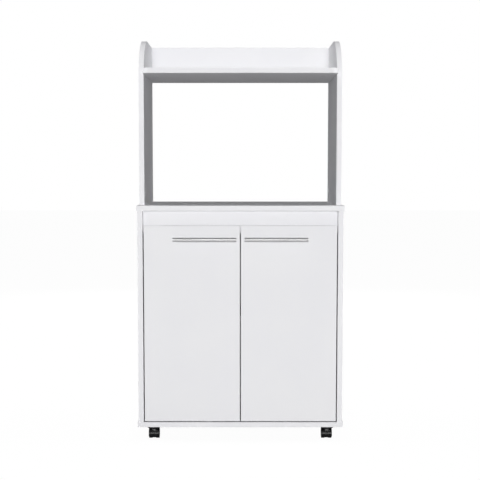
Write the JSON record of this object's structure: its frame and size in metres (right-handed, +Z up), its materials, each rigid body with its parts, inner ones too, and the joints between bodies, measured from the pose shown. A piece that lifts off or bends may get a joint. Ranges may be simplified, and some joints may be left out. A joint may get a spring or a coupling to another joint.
{
  "type": "microwave cart",
  "caption": "White kitchen cart on casters: a cabinet with inset doors and bar handles carries a worktop and an open hutch whose bay holds a microwave oven under a top shelf",
  "frame": {"origin": "on the floor under the middle of the whole object, handles included", "axes": "+Z up, -Y to the front where the doors and handles are, +X to the right of a person who stands in front"},
  "size_m": [0.6, 0.3858, 1.178],
  "materials": {
    "white_board": "white melamine, satin",
    "hardboard": "white-faced hardboard, satin",
    "beech": "plain beech",
    "white_plastic": "satin",
    "bumper_rubber": "soft, matt",
    "handle_metal": "satin nickel",
    "hinge_steel": "nickel plated",
    "zinc_steel": "zinc plated",
    "black_plastic": "black nylon, satin"
  },
  "bodies": {
    "cabinet": {"worktop": "white_board", "bottom_panel": "white_board", "left_side_panel": "white_board", "right_side_panel": "white_board", "front_rail": "white_board", "rear_rail": "white_board", "back_panel": "hardboard", "back_panel_nails": "zinc_steel", "inner_shelf": "white_board", "shelf_pins": "zinc_steel", "left_hutch_side": "white_board", "right_hutch_side": "white_board", "top_shelf": "white_board", "back_strip": "white_board", "cam_locks": "zinc_steel", "cam_bolts": "zinc_steel", "cam_caps": "white_plastic", "dowels": "beech", "bottom_panel_screws": "zinc_steel", "strip_screws": "zinc_steel", "door_bumpers": "bumper_rubber", "left_hinge_arms": "hinge_steel", "left_hinge_plates": "hinge_steel", "right_hinge_arms": "hinge_steel", "right_hinge_plates": "hinge_steel", "hinge_mount_screws": "zinc_steel", "caster_plates": "zinc_steel", "caster_screws": "zinc_steel"},
    "left_door": {"left_door": "white_board", "left_handle_bar": "handle_metal", "left_handle_posts": "handle_metal", "left_handle_screws": "zinc_steel", "left_hinge_cups": "hinge_steel", "left_hinge_pins": "zinc_steel", "left_cup_screws": "zinc_steel"},
    "right_door": {"right_door": "white_board", "right_handle_bar": "handle_metal", "right_handle_posts": "handle_metal", "right_handle_screws": "zinc_steel", "right_hinge_cups": "hinge_steel", "right_hinge_pins": "zinc_steel", "right_cup_screws": "zinc_steel"},
    "front_left_caster": {"front_left_housing": "black_plastic", "front_left_axle": "zinc_steel"},
    "front_left_outer_wheel": {"front_left_outer_wheel": "black_plastic"},
    "front_left_inner_wheel": {"front_left_inner_wheel": "black_plastic"},
    "front_right_caster": {"front_right_housing": "black_plastic", "front_right_axle": "zinc_steel"},
    "front_right_outer_wheel": {"front_right_outer_wheel": "black_plastic"},
    "front_right_inner_wheel": {"front_right_inner_wheel": "black_plastic"},
    "rear_left_caster": {"rear_left_housing": "black_plastic", "rear_left_axle": "zinc_steel"},
    "rear_left_outer_wheel": {"rear_left_outer_wheel": "black_plastic"},
    "rear_left_inner_wheel": {"rear_left_inner_wheel": "black_plastic"},
    "rear_right_caster": {"rear_right_housing": "black_plastic", "rear_right_axle": "zinc_steel"},
    "rear_right_outer_wheel": {"rear_right_outer_wheel": "black_plastic"},
    "rear_right_inner_wheel": {"rear_right_inner_wheel": "black_plastic"}
  },
  "joints": [
    {"name": "left_door_hinge", "type": "hinge", "parent": "cabinet", "child": "left_door", "pos_m": [-0.269, -0.1511, 0.344], "axis": [0, 0, -1], "range_deg": [0, 105]},
    {"name": "right_door_hinge", "type": "hinge", "parent": "cabinet", "child": "right_door", "pos_m": [0.269, -0.1511, 0.344], "axis": [0, 0, 1], "range_deg": [0, 105]},
    {"name": "front_left_swivel", "type": "hinge", "parent": "cabinet", "child": "front_left_caster", "pos_m": [-0.254, -0.1339, 0.03], "axis": [0, 0, 1], "continuous": true},
    {"name": "front_left_outer_roll", "type": "hinge", "parent": "front_left_caster", "child": "front_left_outer_wheel", "pos_m": [-0.26425, -0.1259, 0.015], "axis": [1, 0, 0], "continuous": true},
    {"name": "front_left_inner_roll", "type": "hinge", "parent": "front_left_caster", "child": "front_left_inner_wheel", "pos_m": [-0.24375, -0.1259, 0.015], "axis": [1, 0, 0], "continuous": true},
    {"name": "front_right_swivel", "type": "hinge", "parent": "cabinet", "child": "front_right_caster", "pos_m": [0.254, -0.1339, 0.03], "axis": [0, 0, 1], "continuous": true},
    {"name": "front_right_outer_roll", "type": "hinge", "parent": "front_right_caster", "child": "front_right_outer_wheel", "pos_m": [0.26425, -0.1259, 0.015], "axis": [1, 0, 0], "continuous": true},
    {"name": "front_right_inner_roll", "type": "hinge", "parent": "front_right_caster", "child": "front_right_inner_wheel", "pos_m": [0.24375, -0.1259, 0.015], "axis": [1, 0, 0], "continuous": true},
    {"name": "rear_left_swivel", "type": "hinge", "parent": "cabinet", "child": "rear_left_caster", "pos_m": [-0.254, 0.1681, 0.03], "axis": [0, 0, 1], "continuous": true},
    {"name": "rear_left_outer_roll", "type": "hinge", "parent": "rear_left_caster", "child": "rear_left_outer_wheel", "pos_m": [-0.26425, 0.1761, 0.015], "axis": [1, 0, 0], "continuous": true},
    {"name": "rear_left_inner_roll", "type": "hinge", "parent": "rear_left_caster", "child": "rear_left_inner_wheel", "pos_m": [-0.24375, 0.1761, 0.015], "axis": [1, 0, 0], "continuous": true},
    {"name": "rear_right_swivel", "type": "hinge", "parent": "cabinet", "child": "rear_right_caster", "pos_m": [0.254, 0.1681, 0.03], "axis": [0, 0, 1], "continuous": true},
    {"name": "rear_right_outer_roll", "type": "hinge", "parent": "rear_right_caster", "child": "rear_right_outer_wheel", "pos_m": [0.26425, 0.1761, 0.015], "axis": [1, 0, 0], "continuous": true},
    {"name": "rear_right_inner_roll", "type": "hinge", "parent": "rear_right_caster", "child": "rear_right_inner_wheel", "pos_m": [0.24375, 0.1761, 0.015], "axis": [1, 0, 0], "continuous": true}
  ]
}
